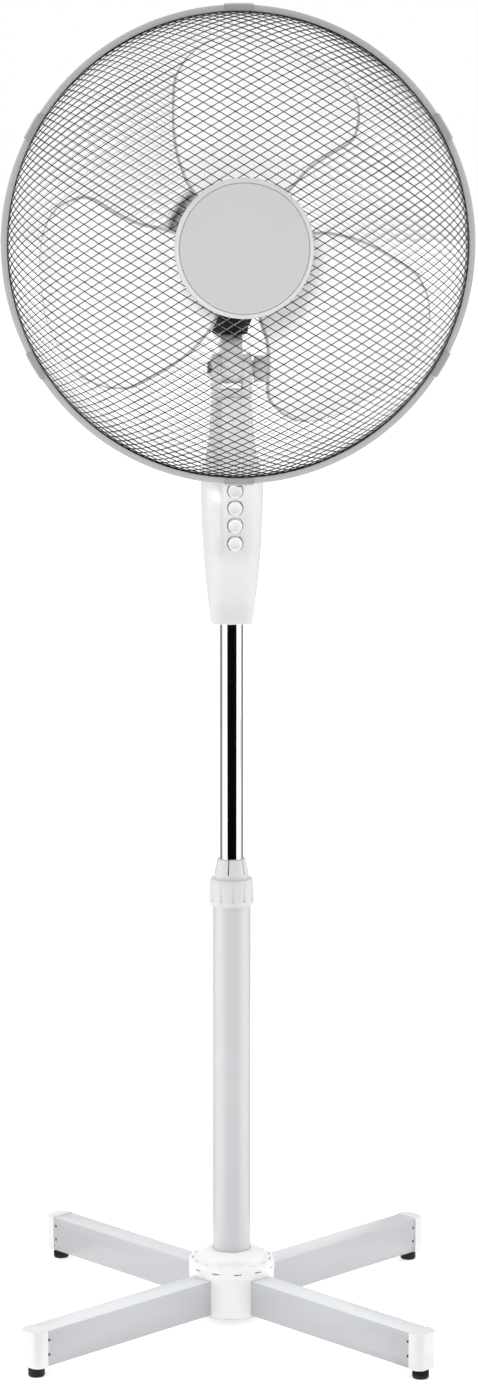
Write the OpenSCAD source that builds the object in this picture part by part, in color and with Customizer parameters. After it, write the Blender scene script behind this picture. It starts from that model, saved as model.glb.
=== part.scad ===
// Pedestal fan: a four-legged base, a telescopic pole, a control box with push buttons,
// and a motor head that tilts and swings, with a domed guard around three blades.
// The pole stands on the Z axis, the floor is Z = 0, and the fan blows towards -Y.

/* [Head] */
// Height of the fan's axis above the floor with the pole raised
axis_z = 1034; // [1030:1:1040]
// How far the guard's trim ring stands in front of the pole
ring_reach = 95; // [95:1:100]
// Outer radius of the trim ring
ring_r = 215; // [213:0.5:218]
// Radius over the blade tips
blade_r = 187; // [178:1:188]
// Pitch of the blades
blade_pitch = 18; // [14:1:19]
// Number of blades
blade_count = 3; // [2:1:4]
// Radius of the round badge on the front guard
badge_r = 62; // [58:1:64]
// Radius of the motor housing
housing_r = 63; // [62:1:64]
// Bars in each guard
bar_count = 20; // [12:2:24]
// Clips around the trim ring
clip_count = 6; // [6:1:6]

/* [Pole] */
// Radius of the chromed upper tube
upper_r = 11; // [11:0.5:11]
// Radius of the painted lower tube
lower_r = 18.3; // [18:0.1:18.6]
// Height of the lower tube's top above the floor
lower_top = 407; // [400:1:410]
// Wall of both tubes
tube_wall = 1.2; // [1:0.1:1.4]
// Height of the control box's bottom above the floor
case_z = 679; // [676:1:682]
// Height of the tilt bolt above the floor
tilt_z = 918; // [918:1:920]

/* [Base] */
// Turn of the legs against the head
leg_turn = -5; // [-8:1:8]
// Reach of a leg from the pole to its cap's face
leg_reach = 260; // [240:1:270]
// Width of a leg
leg_w = 24; // [22:0.5:26]
// Height of a leg
leg_h = 34; // [32:0.5:34]
// Height of the rubber feet
foot_h = 10.5; // [10.5:0.1:12]
// Radius of the hub
hub_r = 41; // [40:0.5:44]

/* [Hidden] */
$fn = 48;

gap = 0.3;
fit = 0.05;
eps = 0.01;
white = [0.93, 0.93, 0.93];
pale = [0.82, 0.83, 0.84];
mid_grey = [0.66, 0.67, 0.68];
rubber = [0.06, 0.06, 0.06];
steel = [0.6, 0.61, 0.63];
copper = [0.72, 0.42, 0.2];

// Base
leg_wall = 1.6;
leg_inner = 22;
cap_len = 10.5;
cap_plug = 18;
leg_outer = leg_reach - cap_len;
hub_z = 8.4;
hub_top = foot_h + leg_h + 1.5;
cover_h = 12;
dome_top = 67.5;
foot_r = 7.8;
foot_at = leg_outer + 1.5;
stem_r = 3;
plate_z = 5.6;
plate_h = 2.4;

// Pole
lower_in = lower_r - tube_wall;
lower_z = 12;
plug_h = 14;
plug_z = lower_z;
thread_r = lower_in + 0.85;
collar_h = 26;
cone_top = lower_top + 45;
bush_z = 272;
bush_h = 20;
upper_top = 885;

// Control box: half width and front face against height
seam_y = -4;
case_rear_y = 18;
case_wall = 2.4;
case_top = 892;
face_y = -50;
case_side = [
    [case_z, 19], [704, 22.4], [741, 25.8], [785, 28.3], [815, 28.3], [850, 21.5], [case_top, 18.5]
];
case_face = [
    [case_z, -18], [700, -24], [725, -38], [748, face_y], [816, face_y], [846, -26], [case_top, -17]
];
button_r = 6.4;
button_x = 0;
button_z = [808.5, 792.4, 776, 759.4];
button_out = 4;
button_depth = 12;
boss_x = 16.6;
boss_z = [716, 826];
gland_z = 700;

// Tilt joint
tongue_x = 9.8;
cheek_in = tongue_x + gap;
cheek_out = 18.5;
cheek_r = 14;
bolt_r = 4;
yoke_floor = 899;
socket_r = 13.6;
knob_x = cheek_out + 2.6;

// Swing pivot, under the gearbox
pivot_y = 34;
pin_r = 4.5;
boss_top = 974;
anchor_x = 11;
crank_y = 56;
crank_throw = 7;
link_z = 982;
link_h = 3;

// Motor, as distances in front of the pole
bell_front = 35;
bell_rear = -22.5;
bell_r = 53;
core_rear = -8;
core_front = 14;
rotor_r = 27;
shaft_r = 4;
shaft_rear = -52;
shaft_front = 126;
worm_r = 5.5;
worm_len = 14;
wheel_r = 11.5;
wheel_x = -(worm_r + wheel_r + 0.3);
wheel_at = -42;
lip_front = 33;
housing_back = -98;

// Guards and blades, as distances in front of the pole
rim_r = ring_r - 4.5;
rim_w = 5;
ring_w = 16;
wire = 2;
plate_front = 38;
blade_at = ring_reach + 4;
blade_t = 2.4;
blade_hub_r = 24;
rear_curve = [
    [rim_r - 1, ring_reach - 4], [rim_r - 6, 78], [rim_r - 15, 66], [rim_r - 30, 56],
    [rim_r - 60, 48], [100, 41], [56, plate_front - 1.6]
];
front_curve = [
    [rim_r - 1, ring_reach + 4], [rim_r - 5, 113], [rim_r - 13, 126], [rim_r - 28, 138],
    [rim_r - 55, 148], [110, 157], [56, 161.1]
];
// Blade outline: angle from the blade's middle line, and share of the tip radius
blade_edge = [
    [-30, 0.12], [-41, 0.36], [-40.5, 0.5], [-43, 0.63], [-45, 0.75], [-42.5, 0.83], [-37, 0.91],
    [-28.5, 0.95], [-18.5, 0.97], [-5.6, 0.995], [3.5, 1], [12, 0.99], [20, 0.935], [26.5, 0.85],
    [31, 0.74], [36.5, 0.62], [42, 0.5], [47, 0.35], [30, 0.12]
];
blade_turn = 86;

// Tools

module pipe(r_out, r_in, h) {
    difference() {
        cylinder(r = r_out, h = h);
        translate([0, 0, -eps]) cylinder(r = r_in, h = h + 2 * eps);
    }
}

// Puts a child's z = 0 plane at a distance in front of the pole, on the fan's axis, facing forward
module ahead(distance) {
    translate([0, -distance, axis_z]) rotate([90, 0, 0]) children();
}

// Lays a child's +Z along +X
module sideways(x, y, z) {
    translate([x, y, z]) rotate([0, 90, 0]) children();
}

module on_leg(i) {
    rotate([0, 0, 45 + 90 * i + leg_turn]) children();
}

module box(low, high) {
    translate(low) cube(high - low);
}

// Base

module hub_body() {
    color(white) difference() {
        translate([0, 0, hub_z]) cylinder(r = hub_r, h = hub_top - hub_z);
        translate([0, 0, lower_z - 0.4]) cylinder(r = lower_r + fit, h = hub_top);
        translate([0, 0, hub_z - eps]) cylinder(r = 6, h = 10);
        for (i = [0:3]) on_leg(i)
            box([leg_inner - 0.2, -leg_w / 2, foot_h], [hub_r + 2, leg_w / 2, foot_h + leg_h]);
        for (i = [0:3]) rotate([0, 0, 90 * i + leg_turn])
            translate([28, 0, hub_z - eps]) cylinder(r = 1.6, h = 20);
    }
}

module hub_cover() {
    ring_h = cover_h - 1.5;
    color(white) translate([0, 0, hub_top]) rotate_extrude() polygon([
        [lower_r + 0.2, 0], [hub_r + 0.4, 0], [hub_r + 0.4, ring_h], [hub_r - 1.2, cover_h],
        [33, cover_h], [31, cover_h + 4], [26, cover_h + 7.6], [22.4, dome_top - hub_top],
        [lower_r + 0.2, dome_top - hub_top]
    ]);
}

module leg(i) {
    color(pale) on_leg(i) difference() {
        box([leg_inner, -leg_w / 2, foot_h], [leg_outer, leg_w / 2, foot_h + leg_h]);
        box(
            [leg_inner - 1, leg_wall - leg_w / 2, foot_h + leg_wall],
            [leg_outer + 1, leg_w / 2 - leg_wall, foot_h + leg_h - leg_wall]
        );
        for (z = [11, 25]) translate([leg_outer - 4, -leg_w, foot_h + z]) rotate([-90, 0, 0])
            cylinder(r = 1.5, h = 2 * leg_w);
        translate([foot_at, 0, foot_h - 1]) cylinder(r = stem_r + 0.3, h = leg_wall + 2);
    }
}

module end_caps() {
    plug_w = leg_w / 2 - leg_wall - 0.1;
    bevel = 5;
    color(white) for (i = [0:3]) on_leg(i) difference() {
        union() {
            translate([0, 0, foot_h]) linear_extrude(leg_h) polygon([
                [leg_outer, -leg_w / 2], [leg_reach - bevel, -leg_w / 2], [leg_reach, bevel - leg_w / 2],
                [leg_reach, leg_w / 2 - bevel], [leg_reach - bevel, leg_w / 2], [leg_outer, leg_w / 2]
            ]);
            box(
                [leg_outer - cap_plug, -plug_w, foot_h + leg_wall + 0.1],
                [leg_outer, plug_w, foot_h + leg_h - leg_wall - 0.1]
            );
        }
        translate([foot_at, 0, foot_h - 1]) cylinder(r = stem_r, h = 9.1);
    }
}

module feet() {
    color(rubber) for (i = [0:3]) on_leg(i) translate([foot_at, 0, 0]) {
        cylinder(r1 = foot_r - 0.8, r2 = foot_r, h = 1.2);
        translate([0, 0, 1.2 - eps]) cylinder(r = foot_r, h = foot_h - 1.2 + eps);
        translate([0, 0, foot_h - eps]) cylinder(r = stem_r, h = 8);
    }
}

module base_plate() {
    color(steel) translate([0, 0, plate_z]) difference() {
        cylinder(r = 36, h = plate_h);
        translate([0, 0, -eps]) cylinder(r = 4.2, h = plate_h + 2 * eps);
        for (i = [0:3]) rotate([0, 0, 90 * i + leg_turn])
            translate([28, 0, -eps]) cylinder(r = 2, h = plate_h + 2 * eps);
    }
}

module plate_screws() {
    color(steel) for (i = [0:3]) rotate([0, 0, 90 * i + leg_turn]) translate([28, 0, 0]) {
        translate([0, 0, plate_z - 2]) cylinder(r = 3.2, h = 2);
        translate([0, 0, plate_z - eps]) cylinder(r = 1.6, h = 18);
    }
}

module pole_bolt() {
    color(steel) {
        translate([0, 0, plate_z - 4]) cylinder(r = 6.5, h = 4, $fn = 6);
        translate([0, 0, plate_z - eps]) cylinder(r = bolt_r, h = 18);
    }
}

module tube_plug() {
    color(steel) translate([0, 0, plug_z]) pipe(lower_in, bolt_r, plug_h);
}

// Pole

module lower_tube() {
    color(pale) translate([0, 0, lower_z]) pipe(lower_r, lower_in, lower_top - lower_z);
}

module collet() {
    thread_z = lower_top + 1.6;
    nut_top = lower_top + collar_h;
    color(white) difference() {
        rotate_extrude() polygon([
            [upper_r + fit, 368], [lower_in - 0.02, 368], [lower_in - 0.02, lower_top],
            [hub_r / 2 - 0.6, lower_top], [hub_r / 2 - 0.6, thread_z], [thread_r, thread_z],
            [thread_r, nut_top], [16.8, nut_top], [16.3, nut_top + 6], [13.9, cone_top - 2],
            [13.4, cone_top], [upper_r + fit, cone_top]
        ]);
        for (i = [0:2]) rotate([0, 0, 60 * i + 15])
            box([-20, -0.6, nut_top + 5], [20, 0.6, cone_top + 1]);
    }
}

module height_nut() {
    nut_z = lower_top + 1.6 + gap;
    nut_top = lower_top + collar_h;
    color(white) difference() {
        rotate_extrude() polygon([
            [thread_r + fit, nut_z], [21.2, nut_z], [21.5, nut_z + 2], [20.6, nut_top - 2],
            [19.8, nut_top], [thread_r + fit, nut_top]
        ]);
        for (i = [0:11]) rotate([0, 0, 30 * i]) translate([22.6, 0, nut_z + 4])
            cylinder(r = 2.2, h = collar_h, $fn = 24);
    }
}

module upper_tube() {
    color(steel) translate([0, 0, bush_z]) pipe(upper_r, upper_r - tube_wall, upper_top - bush_z);
}

module guide_bush() {
    color(white) translate([0, 0, bush_z]) pipe(lower_in - 0.08, upper_r, bush_h);
}

// Control box

function side_line(i, s) = [for (p = case_side) [s * (p[1] - i), clamp_z(p[0], i)]];
function face_line(i) = [for (p = case_face) [p[1] + i, clamp_z(p[0], i)]];
function clamp_z(z, i) = min(max(z, case_z + i), case_top - i);
function reversed(list) = [for (k = [len(list) - 1:-1:0]) list[k]];

// The casing's outer form, pulled in by i on every side
module case_form(i) {
    front_in = 1.23 * i;
    rear_in = 1.28 * i;
    intersection() {
        translate([0, 60, 0]) rotate([90, 0, 0]) linear_extrude(140)
            polygon(concat(side_line(i, 1), reversed(side_line(i, -1))));
        translate([-40, 0, 0]) rotate([90, 0, 90]) linear_extrude(80) polygon(concat(
            face_line(i), [[case_rear_y - i, case_top - i], [case_rear_y - i, case_z + i]]
        ));
        translate([0, 0, case_z - 1]) linear_extrude(case_top - case_z + 2) polygon([
            [front_in - 12, face_y - 1], [12 - front_in, face_y - 1], [30 - front_in, -26],
            [30 - rear_in, 4], [18 - rear_in, case_rear_y + 1], [rear_in - 18, case_rear_y + 1],
            [rear_in - 30, 4], [front_in - 30, -26]
        ]);
    }
}

module case_shell() {
    difference() {
        case_form(0);
        case_form(case_wall);
        translate([0, 0, case_z - 1]) cylinder(r = upper_r + fit, h = 10);
        translate([0, 0, case_top - 10]) cylinder(r = socket_r + fit, h = 20);
    }
}

module case_bosses(y0, y1, bore) {
    for (x = [-boss_x, boss_x], z = boss_z) translate([x, y1, z]) rotate([90, 0, 0]) difference() {
        cylinder(r = 3.6, h = y1 - y0);
        translate([0, 0, -eps]) cylinder(r = bore, h = y1 - y0 + 2 * eps);
    }
}

module case_front() {
    color(white) {
        difference() {
            case_shell();
            box([-60, seam_y, 0], [60, 60, 1000]);
            for (z = button_z) translate([button_x, face_y - 2, z]) rotate([-90, 0, 0])
                cylinder(r = button_r + 0.4, h = 10);
        }
        case_bosses(-15, seam_y, 1.5);
    }
}

module case_rear() {
    color(white) difference() {
        union() {
            difference() {
                case_shell();
                box([-60, -80, 0], [60, seam_y, 1000]);
            }
            case_bosses(seam_y, case_rear_y - 1, 1.5);
        }
        for (x = [-boss_x, boss_x], z = boss_z) translate([x, seam_y - eps, z]) rotate([-90, 0, 0]) {
            cylinder(r = 1.5, h = 30);
            translate([0, 0, case_rear_y - 2 - seam_y]) cylinder(r = 3.2, h = 10);
        }
        translate([0, case_rear_y - 5, gland_z]) rotate([-90, 0, 0]) cylinder(r = 4.6, h = 10);
    }
}

module case_screws() {
    color(steel) for (x = [-boss_x, boss_x], z = boss_z) translate([x, -12, z]) rotate([-90, 0, 0]) {
        cylinder(r = 1.5, h = case_rear_y + 10 - eps);
        translate([0, 0, case_rear_y + 10]) cylinder(r = 3, h = 1.8);
    }
}

module switch_block() {
    color(rubber) box([-10.5, -33, 748], [10.5, -18, 818]);
}

module capacitor() {
    color(mid_grey) box([-10, -31, 724], [10, -14, 742]);
}

module cord_gland() {
    color(mid_grey) translate([0, 12, gland_z]) rotate([-90, 0, 0]) difference() {
        rotate_extrude() polygon([
            [0, 0], [6.2, 0], [6.2, 3.4], [4.5, 3.4], [4.5, 6.2], [6.6, 6.2], [6.4, 8.4], [5, 13], [0, 13]
        ]);
        translate([0, 0, 2]) cylinder(r = 2.8, h = 12);
    }
}

module button(i) {
    color(white) translate([button_x, face_y - button_out, button_z[i]]) rotate([-90, 0, 0]) {
        difference() {
            cylinder(r = button_r, h = button_out + 4);
            translate([0, 0, -eps]) cylinder(r1 = 4.9, r2 = 4.4, h = 0.6);
        }
        translate([0, 0, button_out + 4 - eps]) cylinder(r = 2.6, h = 4);
    }
}

// Tilt joint

module neck_yoke() {
    socket_z = 850;
    color(white) difference() {
        union() {
            translate([0, 0, socket_z]) cylinder(r = socket_r, h = yoke_floor - socket_z);
            box([-cheek_out, -cheek_r, case_top + 0.2], [cheek_out, cheek_r, yoke_floor]);
            for (s = [-1, 1]) {
                x0 = s > 0 ? cheek_in : -cheek_out;
                box([x0, -cheek_r, yoke_floor - 1], [x0 + cheek_out - cheek_in, cheek_r, tilt_z]);
                sideways(x0, 0, tilt_z) cylinder(r = cheek_r, h = cheek_out - cheek_in);
            }
        }
        translate([0, 0, socket_z - 1]) cylinder(r = upper_r, h = upper_top - socket_z + 1);
        sideways(-30, 0, tilt_z) cylinder(r = bolt_r, h = 60);
    }
}

module tilt_bolt() {
    color(steel) {
        sideways(-cheek_out - 4, 0, tilt_z) cylinder(r = 7, h = 4 - eps, $fn = 6);
        sideways(-cheek_out - eps, 0, tilt_z) cylinder(r = bolt_r, h = 2 * cheek_out + 10);
    }
}

module tilt_knob() {
    color(mid_grey) sideways(cheek_out + gap, 0, tilt_z) difference() {
        union() {
            cylinder(r = 7.5, h = 3);
            translate([0, 0, 2.6]) cylinder(r = 12.6, h = 12);
        }
        translate([0, 0, -eps]) cylinder(r = bolt_r + fit, h = 10.5);
        for (i = [0:7]) rotate([0, 0, 45 * i]) translate([14.6, 0, 2])
            cylinder(r = 3.6, h = 20, $fn = 24);
    }
}

module tilt_bracket() {
    color(pale) difference() {
        union() {
            sideways(-tongue_x, 0, tilt_z) cylinder(r = 13.6, h = 2 * tongue_x);
            translate([-tongue_x, 0, 0]) rotate([90, 0, 90]) linear_extrude(2 * tongue_x) polygon([
                [-13.5, tilt_z + 2], [-9, 942], [14, 962], [pivot_y, 966], [pivot_y + 12, 958],
                [pivot_y + 9, 944], [13.5, tilt_z - 4]
            ]);
            translate([0, pivot_y, 946]) cylinder(r = 15, h = boss_top - 946);
            translate([anchor_x, pivot_y, boss_top - eps]) cylinder(r = 2, h = link_z - boss_top - 0.8);
        }
        sideways(-20, 0, tilt_z) cylinder(r = bolt_r + fit, h = 40);
        translate([0, pivot_y, 952]) cylinder(r = pin_r, h = 40);
    }
}

module pivot_pin() {
    color(steel) translate([0, pivot_y, 952]) {
        cylinder(r = pin_r, h = 46);
        translate([0, 0, 46 - eps]) cylinder(r = pin_r + 1.6, h = 2);
    }
}

// Motor

module motor_front() {
    color(steel) ahead(0) difference() {
        rotate_extrude() polygon([
            [shaft_r + 0.6, bell_front - 5], [bell_r - 2.4, bell_front - 5], [bell_r - 2.4, core_front - 6],
            [bell_r, core_front - 6], [bell_r, bell_front], [22.5, bell_front], [22.5, 47],
            [shaft_r + 0.6, 47]
        ]);
        translate([0, 0, bell_front - 6]) cylinder(r = 11, h = 8);
        for (i = [0:5]) rotate([0, 0, 60 * i]) translate([36, 0, bell_front - 7])
            cylinder(r = 6, h = 10);
    }
}

module motor_rear() {
    color(steel) ahead(0) difference() {
        rotate_extrude() polygon([
            [shaft_r + 0.6, bell_rear], [bell_r, bell_rear], [bell_r, core_rear + 6],
            [bell_r - 2.4, core_rear + 6], [bell_r - 2.4, bell_rear + 5], [shaft_r + 0.6, bell_rear + 5]
        ]);
        translate([0, 0, bell_rear - 2]) cylinder(r = 11, h = 8);
    }
}

module stator() {
    color(steel) ahead(core_rear) difference() {
        cylinder(r = bell_r - 2.4, h = core_front - core_rear);
        translate([0, 0, -1]) cylinder(r = rotor_r + 0.5, h = 40);
        for (i = [0:7]) rotate([0, 0, 45 * i]) translate([37, 0, -1])
            cylinder(r = 5, h = 40);
    }
}

module coils() {
    color(copper) {
        ahead(core_front) pipe(46, 30, 9);
        ahead(core_rear - 9) pipe(46, 30, 9);
    }
}

module bearings() {
    color(copper) {
        ahead(bell_front - 6) pipe(11, shaft_r + fit, 8);
        ahead(bell_rear - 2) pipe(11, shaft_r + fit, 8);
    }
}

module gearbox() {
    back = -62;
    color(pale) difference() {
        union() {
            box([-36, -bell_rear + 2, 992], [26, -back, 1056]);
            translate([0, pivot_y, boss_top + gap]) cylinder(r = 6.6, h = 22);
        }
        box([-32, -bell_rear + 5, 1012], [20, -back - 3, 1052]);
        ahead(-70) cylinder(r = 7, h = 60);
        translate([0, pivot_y, boss_top]) cylinder(r = pin_r + fit, h = 40);
        translate([0, pivot_y, 997.5]) cylinder(r = 7, h = 20);
        translate([anchor_x, crank_y, 980]) cylinder(r = 3 + fit, h = 22);
        translate([wheel_x, -wheel_at, 1002]) cylinder(r = 2.5, h = 20);
        translate([wheel_x, -wheel_at, 1040]) cylinder(r = 2.5 + fit, h = 30);
        ahead(-80) cylinder(r = 1.5, h = 10);
    }
}

module wheel_stub() {
    color(steel) translate([wheel_x, -wheel_at, 1002]) cylinder(r = 2.5, h = 38);
}

module motor_housing() {
    lid = 2.4;
    form = [
        [housing_r, lip_front], [housing_r + 0.5, 0], [housing_r - 0.5, -40], [housing_r - 4, -66],
        [housing_r - 14, -84], [housing_r - 30, -94], [0, housing_back]
    ];
    inner = [
        [0, housing_back + lid], [housing_r - 31, -91.4], [housing_r - 16, -81.5],
        [housing_r - 6.6, -64.5], [housing_r - 3, -39], [housing_r - 2, 0], [housing_r - 2.4, lip_front]
    ];
    color(white) difference() {
        ahead(0) rotate_extrude() polygon(concat(form, inner));
        translate([0, pivot_y, 940]) cylinder(r = 19, h = 60);
        translate([wheel_x, -wheel_at, 1070]) cylinder(r = 5, h = 40);
        for (s = [-1, 1], k = [0:5])
            box([s * (14 + 7 * k) - 1.5, 60, axis_z - 22], [s * (14 + 7 * k) + 1.5, 110, axis_z + 22]);
        ahead(-110) cylinder(r = 1.8, h = 30);
    }
}

module housing_screw() {
    color(steel) {
        ahead(housing_back - 1.8) cylinder(r = 3.4, h = 1.8 - eps);
        ahead(housing_back - eps) cylinder(r = 1.5, h = 34);
    }
}

// Guards

// One bar that follows a guard's curve, from the rim to the plate
module guard_bar(curve, lift) {
    rotate([90, 0, 0]) translate([0, 0, -wire / 2]) linear_extrude(wire) polygon(concat(
        curve, reversed([for (p = curve) [p[0] - wire * 0.7, p[1] + lift * wire]])
    ));
}

module guard(curve, lift) {
    half = 0.8 * wire;
    for (i = [0:bar_count - 1]) rotate([0, 0, 360 / bar_count * (i + 0.5)]) guard_bar(curve, lift);
    for (k = [2, 4]) {
        r0 = curve[k][0] - 0.35 * wire;
        h0 = curve[k][1] + lift * wire / 2;
        translate([0, 0, h0 - half]) pipe(r0 + half, r0 - half, 2 * half);
    }
}

module rear_guard() {
    color(pale) ahead(0) {
        translate([0, 0, ring_reach - 7]) pipe(rim_r, rim_r - rim_w, 6.8);
        guard(rear_curve, 1);
        translate([0, 0, plate_front - 2.7]) pipe(60, 22.8, 3);
    }
}

module front_guard() {
    color(pale) ahead(0) {
        translate([0, 0, ring_reach]) pipe(rim_r, rim_r - rim_w, 6.8);
        guard(front_curve, -1);
        translate([0, 0, 159]) pipe(60, 10, 2.4);
    }
}

module guard_nut() {
    color(mid_grey) ahead(plate_front + gap) difference() {
        cylinder(r = 34, h = 6.4);
        translate([0, 0, -1]) cylinder(r = 22.5, h = 10);
        for (i = [0:5]) rotate([0, 0, 60 * i]) translate([36, 0, 1.6]) cylinder(r = 6, h = 6);
    }
}

module badge() {
    color(pale) ahead(161.4) rotate_extrude() polygon([
        [0, 0], [badge_r - 1, 0], [badge_r, 1.5], [badge_r, 5], [badge_r - 2, 7.2], [badge_r - 8, 8.4], [0, 9.4]
    ]);
}

module trim_ring() {
    lip_r = rim_r - 1.2;
    color(mid_grey) ahead(ring_reach - ring_w / 2) difference() {
        rotate_extrude() polygon([
            [lip_r, 0], [ring_r - 1, 0], [ring_r, 1.5], [ring_r, ring_w - 1.5], [ring_r - 1, ring_w],
            [lip_r, ring_w], [lip_r, ring_w - 1], [rim_r + 0.1, ring_w - 1], [rim_r + 0.1, 1], [lip_r, 1]
        ]);
        for (i = [0:clip_count - 1]) rotate([0, 0, clip_angle(i)])
            box([ring_r - 1.6, -clip_len / 2 - gap, -1], [ring_r + 5, clip_len / 2 + gap, ring_w + 1]);
    }
}

clip_len = 26;
clip_t = 2.4;
barrel_r = 1.4;
function clip_angle(i) = 90 + 360 / clip_count * i;

// A clip lies over the trim ring and hinges on a pin at the ring's rear edge
module clip(i) {
    low = ring_r - 1.2;
    color(mid_grey) ahead(ring_reach - ring_w / 2) rotate([0, 0, clip_angle(i)]) difference() {
        union() {
            box([low, -clip_len / 2, barrel_r], [low + clip_t, clip_len / 2, ring_w + 1.6]);
            box([low - 4.4, -clip_len / 2, ring_w + gap], [low + 0.5, clip_len / 2, ring_w + 1.6]);
            translate([low + barrel_r, clip_len / 2, barrel_r]) rotate([90, 0, 0])
                cylinder(r = barrel_r, h = clip_len);
        }
        if (i == 3) translate([ring_r - 3, 0, 8]) rotate([0, 90, 0]) cylinder(r = 1.6, h = 8);
    }
}

// Turning parts

module rotor_core() {
    color(steel) ahead(core_rear) pipe(rotor_r, shaft_r, core_front - core_rear);
}

module fan_shaft() {
    color(steel) {
        ahead(shaft_rear) cylinder(r = shaft_r, h = shaft_front - shaft_rear);
        ahead(wheel_at - worm_len / 2) cylinder(r = worm_r, h = worm_len);
    }
}

module blade() {
    spread = 1 / cos(blade_pitch);
    rotate([blade_pitch, 0, 0]) translate([0, 0, -blade_t / 2]) linear_extrude(blade_t) polygon([
        for (p = blade_edge) blade_r * p[1] * [cos(p[0]), spread * sin(p[0])]
    ]);
}

module fan_blade() {
    hub_len = 46;
    color(white) ahead(blade_at - hub_len / 2) difference() {
        union() {
            cylinder(r = blade_hub_r, h = hub_len);
            for (i = [0:blade_count - 1]) rotate([0, 0, blade_turn + 360 / blade_count * i])
                translate([0, 0, hub_len / 2]) blade();
        }
        translate([0, 0, -1]) cylinder(r = shaft_r, h = hub_len + 2);
        translate([0, 0, -1]) pipe(blade_hub_r - 3, 9, hub_len - 8);
    }
}

module blade_nut() {
    color(mid_grey) ahead(blade_at + 23) difference() {
        rotate_extrude() polygon([[0, 0], [17, 0], [16, 8], [9, 14], [0, 15]]);
        translate([0, 0, -1]) cylinder(r = shaft_r, h = shaft_front - blade_at - 22);
    }
}

module worm_wheel() {
    color(mid_grey) translate([wheel_x, -wheel_at, axis_z - 5]) pipe(wheel_r, 2.5 + fit, 10);
}

module osc_knob() {
    color(mid_grey) translate([wheel_x, -wheel_at, 0]) {
        translate([0, 0, 1052.5]) cylinder(r = 2.5, h = 52);
        translate([0, 0, 1104]) cylinder(r = 8, h = 12);
        translate([0, 0, 1116 - eps]) cylinder(r1 = 8, r2 = 6, h = 3);
    }
}

module osc_crank() {
    color(steel) translate([anchor_x, crank_y, 0]) {
        translate([0, 0, link_z + 4]) cylinder(r = 9.6, h = 3.2);
        translate([0, 0, link_z + 7]) cylinder(r = 3, h = 12);
        translate([-crank_throw, 0, link_z]) cylinder(r = 1.8, h = 4.2);
    }
}

module osc_link() {
    dx = crank_throw;
    dy = pivot_y - crank_y;
    span = sqrt(dx * dx + dy * dy);
    color(steel) translate([anchor_x - crank_throw, crank_y, link_z]) rotate([0, 0, atan2(dy, dx)])
        difference() {
            union() {
                cylinder(r = 3.8, h = link_h);
                translate([span, 0, 0]) cylinder(r = 3.8, h = link_h);
                box([0, -2.4, 0], [span, 2.4, link_h]);
            }
            translate([0, 0, -1]) cylinder(r = 1.8 + fit, h = link_h + 2);
            translate([span, 0, -1]) cylinder(r = 2.4, h = link_h + 2);
        }
}

hub_body();
hub_cover();
leg(0);  // leg_1
leg(1);  // leg_2
leg(2);  // leg_3
leg(3);  // leg_4
end_caps();
feet();
base_plate();
plate_screws();
pole_bolt();
tube_plug();
lower_tube();
collet();
height_nut();
upper_tube();
guide_bush();
case_front();
case_rear();
case_screws();
switch_block();
capacitor();
cord_gland();
button(0);  // button_1
button(1);  // button_2
button(2);  // button_3
button(3);  // button_4
neck_yoke();
tilt_bolt();
tilt_knob();
tilt_bracket();
pivot_pin();
motor_front();
motor_rear();
stator();
coils();
bearings();
gearbox();
wheel_stub();
motor_housing();
housing_screw();
rear_guard();
guard_nut();
front_guard();
badge();
trim_ring();
clip(0);  // clip_1
clip(1);  // clip_2
clip(2);  // clip_3
clip(3);  // clip_4
clip(4);  // clip_5
clip(5);  // clip_6
rotor_core();
fan_shaft();
fan_blade();
blade_nut();
worm_wheel();
osc_knob();
osc_crank();
osc_link();
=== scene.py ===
# A pedestal fan in a white studio: a four-legged base, a pole painted below and chromed above, a
# control box, and a head with wire guards and three blades.
import math

import bmesh
import bpy
from mathutils import Matrix, Vector


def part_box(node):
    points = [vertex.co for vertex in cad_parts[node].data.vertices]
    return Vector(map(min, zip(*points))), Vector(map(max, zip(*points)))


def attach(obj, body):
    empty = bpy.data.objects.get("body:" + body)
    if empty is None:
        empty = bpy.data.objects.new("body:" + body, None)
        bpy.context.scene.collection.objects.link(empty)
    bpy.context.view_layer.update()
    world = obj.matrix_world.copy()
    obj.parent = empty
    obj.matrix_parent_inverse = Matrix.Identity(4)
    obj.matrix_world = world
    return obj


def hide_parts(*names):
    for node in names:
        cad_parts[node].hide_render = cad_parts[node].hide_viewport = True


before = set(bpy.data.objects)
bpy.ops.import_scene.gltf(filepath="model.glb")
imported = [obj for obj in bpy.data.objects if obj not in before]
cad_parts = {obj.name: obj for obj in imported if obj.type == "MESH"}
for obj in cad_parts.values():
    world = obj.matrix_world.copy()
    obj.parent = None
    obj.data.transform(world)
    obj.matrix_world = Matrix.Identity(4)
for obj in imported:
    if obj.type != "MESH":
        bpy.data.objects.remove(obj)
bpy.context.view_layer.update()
mm = 0.001


# Camera: a long lens a little above the head, slightly to the left of the fan's front, so the
# base is seen from above and the head nearly straight on. The whole fan fills the upright frame.
def in_scene(name, data):
    """A new object, placed in the scene"""
    item = bpy.data.objects.new(name, data)
    bpy.context.scene.collection.objects.link(item)
    return item


camera_data = bpy.data.cameras.new("camera")
camera_data.lens = 91.6
camera = in_scene("camera", camera_data)
look_down, look_right = math.radians(8.75), math.radians(4.15)
camera.location = (-0.2317, -3.2923, 1.120)
camera.rotation_euler = (math.radians(90) - look_down, 0, -look_right)
bpy.context.scene.camera = camera
bpy.context.scene.view_settings.view_transform = "Standard"


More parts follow.
